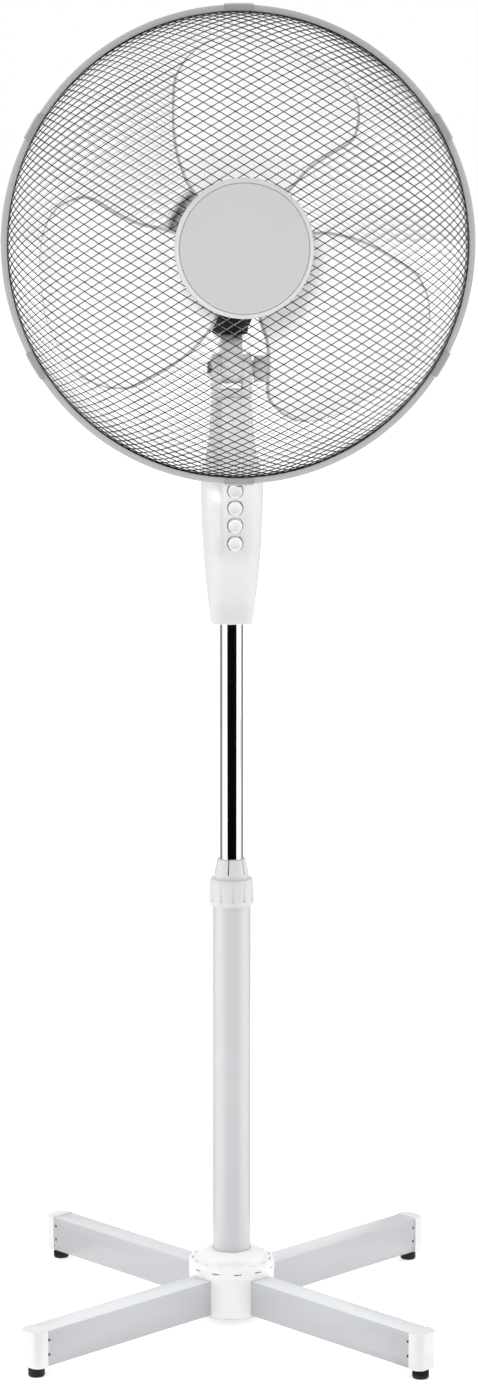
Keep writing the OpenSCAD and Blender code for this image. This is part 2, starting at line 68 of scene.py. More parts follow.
# Studio: a plain pale floor under a white dome. Two tall softboxes stand at the sides and one hangs
# above. Four dark flags show only in reflections, which draws the chrome, and three lamps light only
# some pieces: the blades and tilt joint, the box's front, and the legs.
def flat_sheet(name, corners, colour, strength=0.0):
    """A stage sheet with a plain finish, or one that glows"""
    mesh = bpy.data.meshes.new(name)
    mesh.from_pydata(corners, [], [tuple(range(len(corners)))])
    sheet = in_scene(name, mesh)
    finish = bpy.data.materials.new(name)
    finish.use_nodes = True
    shader = finish.node_tree.nodes["Principled BSDF"]
    shader.inputs["Base Color"].default_value = (*colour, 1)
    shader.inputs["Roughness"].default_value = 0.9
    shader.inputs["Specular IOR Level"].default_value = 0.1
    shader.inputs["Emission Color"].default_value = (*colour, 1)
    shader.inputs["Emission Strength"].default_value = strength
    mesh.materials.append(finish)
    return sheet


floor_reach = 40.0
floor_grey, floor_glow = 0.93, 0.50
floor_corners = [(floor_reach * x, floor_reach * y, 0) for x, y in ((-1, -1), (1, -1), (1, 1), (-1, 1))]
flat_sheet("floor", floor_corners, (floor_grey,) * 3, floor_glow)
flag_distance, flag_height, flag_gap = 1.15, 2.6, 0.02
foot_start, foot_level = 0.28, 0.004


def flag(name, turn_from, turn_to, grey):
    """An upright sheet and its foot, between two turns from the front, seen only in reflections"""
    turns = [math.radians(turn_from), math.radians(turn_to)]
    far = [(flag_distance * math.sin(a), -flag_distance * math.cos(a)) for a in turns]
    near = [(foot_start * math.sin(a), -foot_start * math.cos(a)) for a in turns]
    upright = [(*far[0], flag_gap), (*far[1], flag_gap), (*far[1], flag_height), (*far[0], flag_height)]
    foot = [(x, y, foot_level) for x, y in (near[0], near[1], far[1], far[0])]
    for part, corners in (("upright", upright), ("foot", foot)):
        sheet = flat_sheet(f"{name}_{part}", corners, (grey,) * 3)
        sheet.visible_camera = False
        sheet.visible_diffuse = False
        sheet.visible_shadow = False
        sheet.visible_transmission = False


flag("front_flag", -46, 48, 0.0)
flag("left_flag", -165, -106, 0.24)
flag("right_flag", 98, 126, 0.50)
flag("back_flag", 126, 165, 0.08)


def softbox(name, place, target, size, power, spread=180):
    """A rectangular lamp aimed at a point, with its beam's spread in degrees"""
    data = bpy.data.lights.new(name, "AREA")
    data.spread = math.radians(spread)
    data.shape = "RECTANGLE"
    data.size, data.size_y = size
    data.energy = power
    lamp = in_scene(name, data)
    lamp.location = place
    lamp.rotation_euler = (Vector(target) - Vector(place)).to_track_quat("-Z", "Y").to_euler()
    return lamp


softbox("softbox_left", (-2.6, -0.6, 1.3), (0, 0, 0.7), (1.2, 2.4), 17)
softbox("softbox_right", (2.6, -0.4, 1.3), (0, 0, 0.7), (1.2, 2.4), 15)
softbox("softbox_top", (0, -0.2, 3.2), (0, 0, 0), (2.4, 2.4), 21)
head_lamp = softbox("head_lamp", (-0.5, -3.0, 1.75), (0, -0.1, 1.06), (0.7, 0.7), 62)
neck_lamp = softbox("neck_lamp", (-0.2, -3.0, 1.5), (0, -0.03, 0.875), (0.16, 0.16), 0.045, 4)
leg_lamp = softbox("leg_lamp", (0, -0.5, 2.6), (0, 0, 0.05), (1.0, 1.0), 62)
for lamp in (head_lamp, neck_lamp, leg_lamp):
    lamp.visible_glossy = False
    lamp.light_linking.receiver_collection = bpy.data.collections.new(f"{lamp.name}_targets")
neck_lamp.light_linking.blocker_collection = neck_lamp.light_linking.receiver_collection


def light_up(lamp, piece):
    """Puts a piece among those that a lamp lights"""
    lamp.light_linking.receiver_collection.objects.link(piece)


dome_dim, dome_bright = 0.44, 0.96
world = bpy.data.worlds.new("dome")
world.use_nodes = True
bpy.context.scene.world = world
world_nodes, world_links = world.node_tree.nodes, world.node_tree.links
dome_light = world_nodes["Background"]
towards = world_nodes.new("ShaderNodeTexCoord")
split = world_nodes.new("ShaderNodeSeparateXYZ")
fade = world_nodes.new("ShaderNodeMapRange")
fade.interpolation_type = "SMOOTHSTEP"
for socket, value in (("From Min", -1.0), ("From Max", 0.1), ("To Min", dome_dim), ("To Max", dome_bright)):
    fade.inputs[socket].default_value = value
world_links.new(towards.outputs["Generated"], split.inputs[0])
world_links.new(split.outputs["Y"], fade.inputs["Value"])
world_links.new(fade.outputs["Result"], dome_light.inputs["Color"])
backdrop = world_nodes.new("ShaderNodeBackground")
backdrop.inputs["Color"].default_value = (1, 1, 1, 1)
seen = world_nodes.new("ShaderNodeLightPath")
choice = world_nodes.new("ShaderNodeMixShader")
world_links.new(seen.outputs["Is Camera Ray"], choice.inputs[0])
world_links.new(dome_light.outputs[0], choice.inputs[1])
world_links.new(backdrop.outputs[0], choice.inputs[2])
world_links.new(choice.outputs[0], world_nodes["World Output"].inputs["Surface"])


# Lower tube: a wide steel tube, powder painted pale grey, with its edges broken. It stands in the
# hub, held from below by a bolt, and the collet plugs its top.
def fillet(points, radius, steps=4):
    """A closed outline with its corners rounded. radius is one number, or a dict of corner to radius"""
    result = []
    count = len(points)
    for k, corner in enumerate(points):
        size = radius.get(k, 0) if isinstance(radius, dict) else radius
        here, before, after = Vector(corner), Vector(points[k - 1]), Vector(points[(k + 1) % count])
        back, ahead = before - here, after - here
        size_here = min(size, back.length * 0.45, ahead.length * 0.45)
        if size_here <= 0:
            result.append(tuple(corner))
            continue
        start = here + back.normalized() * size_here
        end = here + ahead.normalized() * size_here
        for s in range(steps + 1):
            t = s / steps
            result.append(tuple(start * (1 - t) ** 2 + here * 2 * t * (1 - t) + end * t * t))
    return result


def shade_faces(mesh, sharp_angle):
    """Smooth shading, apart from edges past an angle in degrees"""
    mesh.shade_smooth()
    mesh.set_sharp_from_angle(angle=math.radians(sharp_angle))


def new_piece(name, bm, sharp_angle=35):
    """An object from a bmesh, with its normals outward and its flat faces kept flat"""
    bmesh.ops.remove_doubles(bm, verts=bm.verts, dist=1e-6)
    bmesh.ops.recalc_face_normals(bm, faces=bm.faces)
    mesh = bpy.data.meshes.new(name)
    bm.to_mesh(mesh)
    bm.free()
    shade_faces(mesh, sharp_angle)
    return in_scene(name, mesh)


def lathe(name, outline, place, towards=(0, 0, 1), steps=96, sharp_angle=35):
    """A piece turned from a closed outline of (radius, height) about an axis through place"""
    bm = bmesh.new()
    turn = Vector((0, 0, 1)).rotation_difference(Vector(towards)).to_matrix()
    rings = []
    for r, h in outline:
        if r < 1e-6:
            rings.append([bm.verts.new(Vector(place) + turn @ Vector((0, 0, h)))])
            continue
        angles = [2 * math.pi * k / steps for k in range(steps)]
        spots = [Vector((r * math.cos(a), r * math.sin(a), h)) for a in angles]
        rings.append([bm.verts.new(Vector(place) + turn @ spot) for spot in spots])
    for one, two in zip(rings, rings[1:] + rings[:1]):
        for k in range(steps):
            a, b = one[k % len(one)], one[(k + 1) % len(one)]
            c, d = two[(k + 1) % len(two)], two[k % len(two)]
            corners = list(dict.fromkeys([a, b, c, d]))
            if len(corners) > 2:
                bm.faces.new(corners)
    return new_piece(name, bm, sharp_angle)


def put_on(piece, body, slot, material, *nodes):
    """Gives a piece its finish, the body it moves with, and the CAD nodes that it stands for"""
    piece.data.materials.clear()
    piece.data.materials.append(material)
    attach(piece, body)
    if nodes:
        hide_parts(*nodes)
    return piece


def group_socket(group, kind, name, direction="INPUT", value=None):
    """A named input or output of a node group, with its default"""
    item = group.interface.new_socket(name=name, in_out=direction, socket_type=f"NodeSocket{kind}")
    if value is not None:
        item.default_value = value


def math_node(tree, operation, *values):
    """A maths node's output, with each value a number or a socket"""
    node = tree.nodes.new("ShaderNodeMath")
    node.operation = operation
    for socket, value in zip(node.inputs, values):
        if isinstance(value, bpy.types.NodeSocket):
            tree.links.new(value, socket)
        else:
            socket.default_value = value
    return node.outputs[0]


def build_surface_group():
    """Slow drift of colour and gloss over a part, and a fine bump such as orange peel or mould grain"""
    group = bpy.data.node_groups.new("surface_variation", "ShaderNodeTree")
    group_socket(group, "Vector", "Vector")
    group_socket(group, "Color", "Color", value=(0.8, 0.8, 0.8, 1))
    for name, value in (
        ("Shade", 0.04), ("Drift Scale", 20.0), ("Roughness", 0.4), ("Roughness Spread", 0.05),
        ("Grain Scale", 1500.0), ("Grain Height", 0.05), ("Grain Depth", 0.0002),
    ):
        group_socket(group, "Float", name, value=value)
    for kind, name in (("Color", "Color"), ("Float", "Roughness"), ("Vector", "Normal")):
        group_socket(group, kind, name, "OUTPUT")
    enter = group.nodes.new("NodeGroupInput")
    leave = group.nodes.new("NodeGroupOutput")
    drift = group.nodes.new("ShaderNodeTexNoise")
    drift.inputs["Detail"].default_value = 3
    group.links.new(enter.outputs["Vector"], drift.inputs["Vector"])
    group.links.new(enter.outputs["Drift Scale"], drift.inputs["Scale"])
    centred = math_node(group, "SUBTRACT", drift.outputs["Fac"], 0.5)
    strength = math_node(group, "MULTIPLY_ADD", centred, enter.outputs["Shade"], 1.0)
    tint = group.nodes.new("ShaderNodeVectorMath")
    tint.operation = "SCALE"
    group.links.new(enter.outputs["Color"], tint.inputs[0])
    group.links.new(strength, tint.inputs["Scale"])
    group.links.new(tint.outputs[0], leave.inputs["Color"])
    spread, middle = enter.outputs["Roughness Spread"], enter.outputs["Roughness"]
    rough = math_node(group, "MULTIPLY_ADD", centred, spread, middle)
    group.links.new(rough, leave.inputs["Roughness"])
    grain = group.nodes.new("ShaderNodeTexNoise")
    grain.inputs["Detail"].default_value = 2
    group.links.new(enter.outputs["Vector"], grain.inputs["Vector"])
    group.links.new(enter.outputs["Grain Scale"], grain.inputs["Scale"])
    bump = group.nodes.new("ShaderNodeBump")
    group.links.new(enter.outputs["Grain Height"], bump.inputs["Strength"])
    group.links.new(enter.outputs["Grain Depth"], bump.inputs["Distance"])
    group.links.new(grain.outputs["Fac"], bump.inputs["Height"])
    group.links.new(bump.outputs["Normal"], leave.inputs["Normal"])
    return group


surface_group = build_surface_group()


def finish(name, colour, roughness, metallic=0.0, shade=0.04, drift=20.0, spread=0.05,
           grain=1500.0, height=0.05, depth=0.2 * mm, coat=0.0, specular=0.5):
    """A material whose colour, gloss and grain come from the shared surface group"""
    material = bpy.data.materials.new(name)
    material.use_nodes = True
    nodes, links = material.node_tree.nodes, material.node_tree.links
    shader = nodes["Principled BSDF"]
    shader.inputs["Metallic"].default_value = metallic
    shader.inputs["Specular IOR Level"].default_value = specular
    shader.inputs["Coat Weight"].default_value = coat
    shader.inputs["Coat Roughness"].default_value = 0.12
    where = nodes.new("ShaderNodeTexCoord")
    surface = nodes.new("ShaderNodeGroup")
    surface.node_tree = surface_group
    surface.name = "surface"
    links.new(where.outputs["Object"], surface.inputs["Vector"])
    for socket, value in (
        ("Color", (*colour, 1)), ("Shade", shade), ("Drift Scale", drift),
        ("Roughness", roughness), ("Roughness Spread", spread),
        ("Grain Scale", grain), ("Grain Height", height), ("Grain Depth", depth),
    ):
        surface.inputs[socket].default_value = value
    links.new(surface.outputs["Color"], shader.inputs["Base Color"])
    links.new(surface.outputs["Roughness"], shader.inputs["Roughness"])
    links.new(surface.outputs["Normal"], shader.inputs["Normal"])
    return material


def upright_tube(name, radius, low, high, edge):
    """A round tube between two heights, with its ends rounded"""
    bore, length = radius - tube_wall, high - low
    outline = fillet([(bore, 0), (radius, 0), (radius, length), (bore, length)], edge)
    return lathe(name, outline, (0, 0, low))


tube_wall = 1.2 * mm
tube_low, tube_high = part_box("lower_tube")
lower_r = (tube_high.x - tube_low.x) / 2
pole_paint = finish("pole_paint", (0.60, 0.61, 0.625), 0.30, shade=0.03, drift=9.0,
                    grain=420.0, height=0.10, depth=0.1 * mm, coat=0.3)
lower_tube = upright_tube("lower_tube_painted", lower_r, tube_low.z, tube_high.z, 0.5 * mm)
put_on(lower_tube, "base", "painted_steel", pole_paint, "lower_tube")


# Front and rear guards: fine wires laid in two slanting families, pressed into a dome and welded to
# a rim wire, with a zinc plated middle plate that holds their inner ends. The wires of both guards
# share one plating; the front guard's are coloured near black as painted shade and painted
# reflection, the rear guard's pale as painted light.
def geo_tree(name, sockets):
    """A Geometry Nodes tree with named inputs, given as name, kind and default"""
    tree = bpy.data.node_groups.new(name, "GeometryNodeTree")
    for label, kind, value in sockets:
        group_socket(tree, kind, label, value=value)
    group_socket(tree, "Geometry", "Geometry", "OUTPUT")
    return tree, tree.nodes.new("NodeGroupInput").outputs, tree.nodes.new("NodeGroupOutput")


def geo_node(tree, kind, settings=None, **inputs):
    """A node with its properties and its inputs set, each input a value or a socket"""
    node = tree.nodes.new(kind)
    for key, value in (settings or {}).items():
        setattr(node, key, value)
    for key, value in inputs.items():
        socket = node.inputs[key.replace("_", " ")]
        if isinstance(value, bpy.types.NodeSocket):
            tree.links.new(value, socket)
        else:
            socket.default_value = value
    return node


def end_tree(tree, geometry, material, leave):
    """Joins what grows into one plain mesh with its finish"""
    real = geo_node(tree, "GeometryNodeRealizeInstances", Geometry=geometry)
    painted = geo_node(tree, "GeometryNodeSetMaterial", Geometry=real.outputs[0], Material=material)
    tree.links.new(painted.outputs[0], leave.inputs[0])


def apply_modifiers(piece, sharp_angle):
    """Keeps what a piece's modifiers make as its plain mesh, and shades it"""
    bpy.context.view_layer.update()
    graph = bpy.context.evaluated_depsgraph_get()
    mesh = bpy.data.meshes.new_from_object(piece.evaluated_get(graph), depsgraph=graph)
    piece.modifiers.clear()
    piece.data = mesh
    mesh.name = piece.name
    shade_faces(mesh, sharp_angle)


def grow(name, tree, values):
    """Runs a tree once with the given inputs and keeps the result as a plain mesh"""
    piece = in_scene(name, bpy.data.meshes.new(name))
    modifier = piece.modifiers.new("grow", "NODES")
    modifier.node_group = tree
    for item in tree.interface.items_tree:
        if item.in_out == "INPUT" and item.name in values:
            modifier[item.identifier] = values[item.name]
    apply_modifiers(piece, 50)
    return piece


def build_grille_tree():
    """Two families of straight wires across a disc, each wire in two halves, pressed into a dome"""
    tree, enter, leave = geo_tree("pressed_grille", [
        ("Wires", "Int", 70), ("Pitch", "Float", 0.0074), ("Radius", "Float", 0.21),
        ("Plate Radius", "Float", 0.058), ("Rim Plane", "Float", 0.097), ("Depth", "Float", 0.0645),
        ("Slant", "Float", 0.54), ("Wire Radius", "Float", 0.0005), ("Axis Height", "Float", 1.034),
        ("Points", "Int", 30), ("Material", "Material", None),
    ])

    def calc(operation, *values):
        return math_node(tree, operation, *values)

    line = geo_node(tree, "GeometryNodeCurvePrimitiveLine")
    points = geo_node(tree, "GeometryNodeResampleCurve", Curve=line.outputs[0], Count=enter["Points"])
    copies = calc("MULTIPLY", enter["Wires"], 4.0)
    lines = geo_node(tree, "GeometryNodeDuplicateElements", {"domain": "SPLINE"},
                     Geometry=points.outputs[0], Amount=copies)
    index = lines.outputs["Duplicate Index"]
    per_family = calc("MULTIPLY", enter["Wires"], 2.0)
    family = calc("FLOOR", calc("DIVIDE", calc("ADD", index, 0.5), per_family))
    within = calc("SUBTRACT", index, calc("MULTIPLY", family, per_family))
    wire = calc("FLOOR", calc("DIVIDE", calc("ADD", within, 0.5), 2.0))
    half = calc("SUBTRACT", within, calc("MULTIPLY", wire, 2.0))
    side = calc("MULTIPLY_ADD", half, -2.0, 1.0)
    middle = calc("MULTIPLY", calc("SUBTRACT", enter["Wires"], 1.0), 0.5)
    offset = calc("MULTIPLY", calc("SUBTRACT", wire, middle), enter["Pitch"])
    offset_sq = calc("MULTIPLY", offset, offset)
    sheet = calc("MULTIPLY", enter["Radius"], 1.25)
    outer_sq = calc("SUBTRACT", calc("MULTIPLY", sheet, sheet), offset_sq)
    outer = calc("SQRT", calc("MAXIMUM", outer_sq, 1e-8))
    plate_sq = calc("SUBTRACT", calc("MULTIPLY", enter["Plate Radius"], enter["Plate Radius"]), offset_sq)
    inner = calc("SUBTRACT", calc("SQRT", calc("MAXIMUM", plate_sq, 0.0)), 0.0004)
    along = geo_node(tree, "GeometryNodeSplineParameter").outputs["Factor"]
    eased = calc("SUBTRACT", 1.0, calc("POWER", calc("SUBTRACT", 1.0, along), 1.7))
    reach = calc("MULTIPLY", side, calc("MULTIPLY_ADD", calc("SUBTRACT", outer, inner), eased, inner))
    turn = calc("MULTIPLY", enter["Slant"], calc("MULTIPLY_ADD", family, -2.0, 1.0))
    cosine, sine = calc("COSINE", turn), calc("SINE", turn)
    flat_sq = calc("ADD", calc("MULTIPLY", reach, reach), offset_sq)
    flat_share = calc("MINIMUM", calc("DIVIDE", calc("SQRT", flat_sq), sheet), 1.0)
    pressed = calc("MULTIPLY_ADD", calc("POWER", flat_share, 4.0), -0.2, 1.0)
    flat_x = calc("SUBTRACT", calc("MULTIPLY", reach, cosine), calc("MULTIPLY", offset, sine))
    flat_z = calc("ADD", calc("MULTIPLY", reach, sine), calc("MULTIPLY", offset, cosine))
    across, upward = calc("MULTIPLY", flat_x, pressed), calc("MULTIPLY", flat_z, pressed)
    share = calc("MINIMUM", calc("MULTIPLY", calc("MULTIPLY", flat_share, 1.25), pressed), 1.0)
    rise = calc("POWER", calc("MAXIMUM", calc("SUBTRACT", 1.0, calc("POWER", share, 3.0)), 0.0), 0.4545)
    layer = calc("MULTIPLY", calc("SUBTRACT", family, 0.5), calc("MULTIPLY", enter["Wire Radius"], 1.9))
    forward = calc("ADD", calc("MULTIPLY_ADD", enter["Depth"], rise, enter["Rim Plane"]), layer)
    y, z = calc("MULTIPLY", forward, -1.0), calc("ADD", upward, enter["Axis Height"])
    place = geo_node(tree, "ShaderNodeCombineXYZ", X=across, Y=y, Z=z)
    laid = geo_node(tree, "GeometryNodeSetPosition", Geometry=lines.outputs[0], Position=place.outputs[0])
    profile = geo_node(tree, "GeometryNodeCurvePrimitiveCircle", Resolution=6, Radius=enter["Wire Radius"])
    wires = geo_node(tree, "GeometryNodeCurveToMesh", Curve=laid.outputs[0],
                     Profile_Curve=profile.outputs[0], Fill_Caps=True)
    end_tree(tree, wires.outputs[0], enter["Material"], leave)
    return tree


ring_low, ring_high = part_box("trim_ring")
axis_z = (ring_low.z + ring_high.z) / 2
ring_r = (ring_high.z - ring_low.z) / 2
ring_front, ring_back = -ring_low.y, -ring_high.y
facing = (0, -1, 0)
plating = {"metallic": 1.0, "drift": 60.0}
# Both wire finishes stand for one plating: the near-black front one is painted shade and painted dark
# reflection, the pale rear one painted light.
wire_painted_dark = finish("wire_plating", (0.03, 0.031, 0.032), 0.16, shade=0.20, spread=0.2, **plating)
wire_painted_bright = finish("wire_painted_bright", (0.74, 0.745, 0.75), 0.30, shade=0.15, spread=0.2, **plating)
plate_zinc = finish("plate_zinc", (0.66, 0.67, 0.68), 0.32, shade=0.10, spread=0.15, grain=900.0, **plating)
grille_tree = build_grille_tree()
rim_wire_r = 1.5 * mm
grille_radius = ring_r - 6.0 * mm
rim_mid = (ring_front + ring_back) / 2
rim_offset = 3.0 * mm
badge_low, badge_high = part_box("badge")
plate_u = -badge_high.y
rear_u = -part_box("guard_nut")[1].y
for label, wire_finish, wire_r, rim_u, peak_u, plate_at, inner_r in (
    ("front", wire_painted_dark, 0.46 * mm, rim_mid + rim_offset, plate_u - 1.0 * mm, plate_u - 2.4 * mm, 10 * mm),
    ("rear", wire_painted_bright, 0.32 * mm, rim_mid - rim_offset, rear_u - 1.5 * mm, rear_u - 3.0 * mm, 22.8 * mm),
):
    grille = grow(f"{label}_guard_wires", grille_tree, {
        "Rim Plane": rim_u, "Depth": peak_u - rim_u, "Radius": grille_radius, "Axis Height": axis_z,
        "Wire Radius": wire_r, "Material": wire_finish,
    })
    put_on(grille, "head", "guard_wire", wire_finish, f"{label}_guard")
    turns = [math.radians(a) for a in range(0, 360, 30)]
    rim_wire = [(grille_radius + rim_wire_r * math.cos(a), rim_u + rim_wire_r * math.sin(a)) for a in turns]
    guard_rim = lathe(f"{label}_guard_rim", rim_wire, (0, 0, axis_z), facing, 160)
    put_on(guard_rim, "head", "guard_wire", plate_zinc, f"{label}_guard")
    plate = [
        (inner_r, 0), (60 * mm, 0), (60 * mm, 2.4 * mm), (56 * mm, 2.4 * mm), (54 * mm, 1.2 * mm),
        (40 * mm, 1.2 * mm), (38 * mm, 2.4 * mm), (inner_r, 2.4 * mm),
    ]
    middle_plate = lathe(f"{label}_guard_plate", fillet(plate, 0.5 * mm, 2), (0, -plate_at, axis_z), facing)
    put_on(middle_plate, "head", "guard_wire", plate_zinc, f"{label}_guard")


# Trim ring: a grey moulded band, channel shaped, that grips both rim wires. Six flat recesses around
# it take the clips.
def skin(bm, rings, closed=False):
    """Faces between rings of points, with flat ends unless the last ring joins the first"""
    for one, two in zip(rings, rings[1:] + (rings[:1] if closed else [])):
        for k in range(len(one)):
            bm.faces.new([one[k - 1], one[k], two[k], two[k - 1]])
    if not closed:
        bm.faces.new(list(reversed(rings[0])))
        bm.faces.new(rings[-1])


ring_w = ring_front - ring_back
clip_half = math.degrees(13.4 * mm / ring_r)
clip_angles = [90 + 60 * i for i in range(6)]


def ring_outline(a):
    """The band's section at an angle round the head, lower where a clip lies in its recess"""
    from_clip = min(abs((math.degrees(a) - c + 180) % 360 - 180) for c in clip_angles)
    r = ring_r - (1.6 * mm if from_clip < clip_half else 0)
    lip, groove, wall, crease = ring_r - 5.7 * mm, ring_r - 4.2 * mm, 1.2 * mm, ring_w * 0.5
    return [
        (lip, 0), (r - wall, 0), (r - 0.35 * mm, 0.35 * mm), (r, 1.3 * mm), (r, crease - 0.5 * mm),
        (r - 0.3 * mm, crease), (r, crease + 0.5 * mm), (r, ring_w - 1.3 * mm),
        (r - 0.35 * mm, ring_w - 0.35 * mm), (r - wall, ring_w), (lip, ring_w), (lip, ring_w - wall),
        (groove, ring_w - wall), (groove, wall), (lip, wall),
    ]


ring_angles = [math.radians(k * 1.5) for k in range(240)]
for c in clip_angles:
    for edge in (-clip_half, clip_half):
        for step in (-0.02, 0.02):
            ring_angles.append(math.radians((c + edge + step) % 360))
ring_bm = bmesh.new()
sections = []
for a in sorted(ring_angles):
    section = [(r * math.cos(a), -(ring_back + h), axis_z + r * math.sin(a)) for r, h in ring_outline(a)]
    sections.append([ring_bm.verts.new(spot) for spot in section])
skin(ring_bm, sections, closed=True)
ring_plastic = finish("ring_plastic", (0.52, 0.53, 0.54), 0.38, shade=0.06, drift=14.0, grain=1400.0,
                      height=0.08)
put_on(new_piece("trim_ring_band", ring_bm), "head", "grey_plastic", ring_plastic, "trim_ring")


# Ring clips: six moulded levers around the ring, each hinged at the back on a barrel and hooked over
# the front edge. The lowest one is held by a small black screw.
def build_clip(i):
    """One lever, a section of (radius, forward distance) swept through its share of the ring"""
    clip_angle = math.radians(clip_angles[i])
    low, top = ring_r - 1.2 * mm, ring_r + 1.25 * mm
    back, front = ring_back, ring_front
    section = [
        (low, back + 1.4 * mm), (low, front + 0.1 * mm), (low - 4.2 * mm, front + 0.2 * mm),
        (low - 4.4 * mm, front + 1.5 * mm), (top - 1.2 * mm, front + 1.6 * mm),
        (top, front + 0.2 * mm), (top, back + 9 * mm), (top - 0.4 * mm, back + 8.5 * mm),
        (top - 0.4 * mm, back + 5.5 * mm), (top, back + 5 * mm), (top, back + 1.4 * mm),
        (top - 0.3 * mm, back + 0.3 * mm), (low + 1.4 * mm, back), (low + 0.3 * mm, back + 0.4 * mm),
    ]
    half_turn = 12.9 * mm / ring_r
    stations = [-1, -0.985, -0.94, -0.8, -0.6, -0.4, -0.2, 0, 0.2, 0.4, 0.6, 0.8, 0.94, 0.985, 1]
    bm = bmesh.new()
    rings = []
    for s in stations:
        shrink = 0.5 * mm if abs(s) == 1 else (0.15 * mm if abs(s) > 0.98 else 0)
        a = clip_angle + s * half_turn
        ring = []
        for r, u in section:
            inset = max(min(r, top - shrink), low - 4.4 * mm)
            ring.append(bm.verts.new((inset * math.cos(a), -u, axis_z + inset * math.sin(a))))
        rings.append(ring)
    skin(bm, rings)
    return new_piece(f"ring_clip_{i + 1}", bm)


clip_plastic = finish("clip_plastic", (0.42, 0.43, 0.44), 0.34, shade=0.05, drift=30.0, grain=1400.0,
                      height=0.08)
for i in range(6):
    put_on(build_clip(i), f"clip_{i + 1}", "grey_plastic", clip_plastic, f"clip_{i + 1}")
screw_black = finish("screw_black", (0.03, 0.03, 0.03), 0.35, metallic=0.6, grain=2000.0)
screw_outline = [
    (0, 0), (1.5 * mm, 0), (1.5 * mm, 2.4 * mm), (2.9 * mm, 2.4 * mm), (2.6 * mm, 3.6 * mm),
    (1.1 * mm, 4.0 * mm), (1.0 * mm, 3.2 * mm), (0, 3.2 * mm),
]
screw_place = (0, -ring_back - 12 * mm, axis_z - ring_r + 1.4 * mm)
clip_screw = lathe("clip_screw", fillet(screw_outline, {4: 0.4 * mm}), screw_place, (0, 0, -1), 24)
put_on(clip_screw, "clip_4", "zinc_steel", screw_black)


# Badge: a round moulded cap over the front guard's middle plate, with a flat matt face inside a
# slightly paler, glossier bevelled band. Nothing is printed on it.
badge_r = (badge_high.x - badge_low.x) / 2
badge_satin = finish("badge_satin", (0.58, 0.59, 0.60), 0.62, drift=12.0, grain=1800.0, height=0.10,
                     specular=0.2)
badge_pale = finish("badge_pale", (0.60, 0.61, 0.62), 0.32, drift=12.0, grain=1800.0)
face_r = badge_r - 4.6 * mm
badge_face = fillet([
    (0, 1 * mm), (face_r, 1 * mm), (face_r, 7.5 * mm), (face_r - 0.8 * mm, 8.3 * mm),
    (face_r * 0.6, 8.9 * mm), (0, 9.3 * mm),
], {2: 0.3 * mm, 3: 2 * mm})
badge_band = fillet([
    (face_r + 0.05 * mm, 0), (badge_r - 1 * mm, 0), (badge_r, 1.2 * mm), (badge_r, 4.4 * mm),
    (badge_r - 1.2 * mm, 5.9 * mm), (face_r + 1.2 * mm, 7.9 * mm), (face_r + 0.5 * mm, 7.8 * mm),
    (face_r + 0.05 * mm, 7.0 * mm),
], {3: 0.8 * mm, 4: 0.8 * mm, 5: 0.4 * mm})
for name, outline, material in (
    ("badge_face", badge_face, badge_satin), ("badge_band", badge_band, badge_pale),
):
    moulding = lathe(name, outline, (0, badge_high.y, axis_z), facing, 128)
    put_on(moulding, "head", "grey_plastic", material, "badge")


# Fan: three broad moulded blades, twisted and cambered, each with a narrow raised lip along its
# edge, coloured grey there as painted shade, on one hub that a screwed cone holds to the shaft.
# Gloss white plastic.
def smooth_path(points, count):
    """Points along a smooth curve through a list of pairs"""
    ends = [points[0]] + list(points) + [points[-1]]
    spans = len(points) - 1
    result = []
    for k in range(count + 1):
        x = k / count * spans
        i = min(int(x), spans - 1)
        t = x - i
        p0, p1, p2, p3 = (Vector(ends[i + j]) for j in range(4))
        square = (2 * p0 - 5 * p1 + 4 * p2 - p3) * t * t
        cube = (3 * p1 - p0 - 3 * p2 + p3) * t**3
        result.append(0.5 * (2 * p1 + (p2 - p0) * t + square + cube))
    return result


def edge_points(pairs):
    """Outline pairs of (angle, share of the blade's radius) as flat coordinates"""
    return [(-s * math.sin(math.radians(a)), s * math.cos(math.radians(a))) for a, s in pairs]


blade_r = 187 * mm
leading = edge_points([
    (-30, 0.12), (-41, 0.36), (-40.5, 0.5), (-43, 0.63), (-45, 0.75), (-42.5, 0.83), (-37, 0.91),
    (-28.5, 0.95), (-18.5, 0.97), (-5.6, 0.995), (3.5, 1.0),
])
trailing = edge_points([
    (30, 0.12), (47, 0.35), (42, 0.5), (36.5, 0.62), (31, 0.74), (26.5, 0.85), (23, 0.9),
    (20, 0.935), (16, 0.965), (12, 0.99), (3.5, 1.0),
])


def blade_point(p, lift):
    """A place on the blade, where p is flat and lift is along the axis, twisted more near the hub"""
    r = p.length
    pitch = math.radians(24 - 9 * min(r / blade_r, 1))
    camber = 9 * mm * (1 - (p.x / (0.6 * blade_r)) ** 2) * min(1, r / (0.5 * blade_r)) - 4 * mm
    return Vector((p.x * math.cos(pitch) * 1.03, p.y, -p.x * math.sin(pitch) + camber + lift))


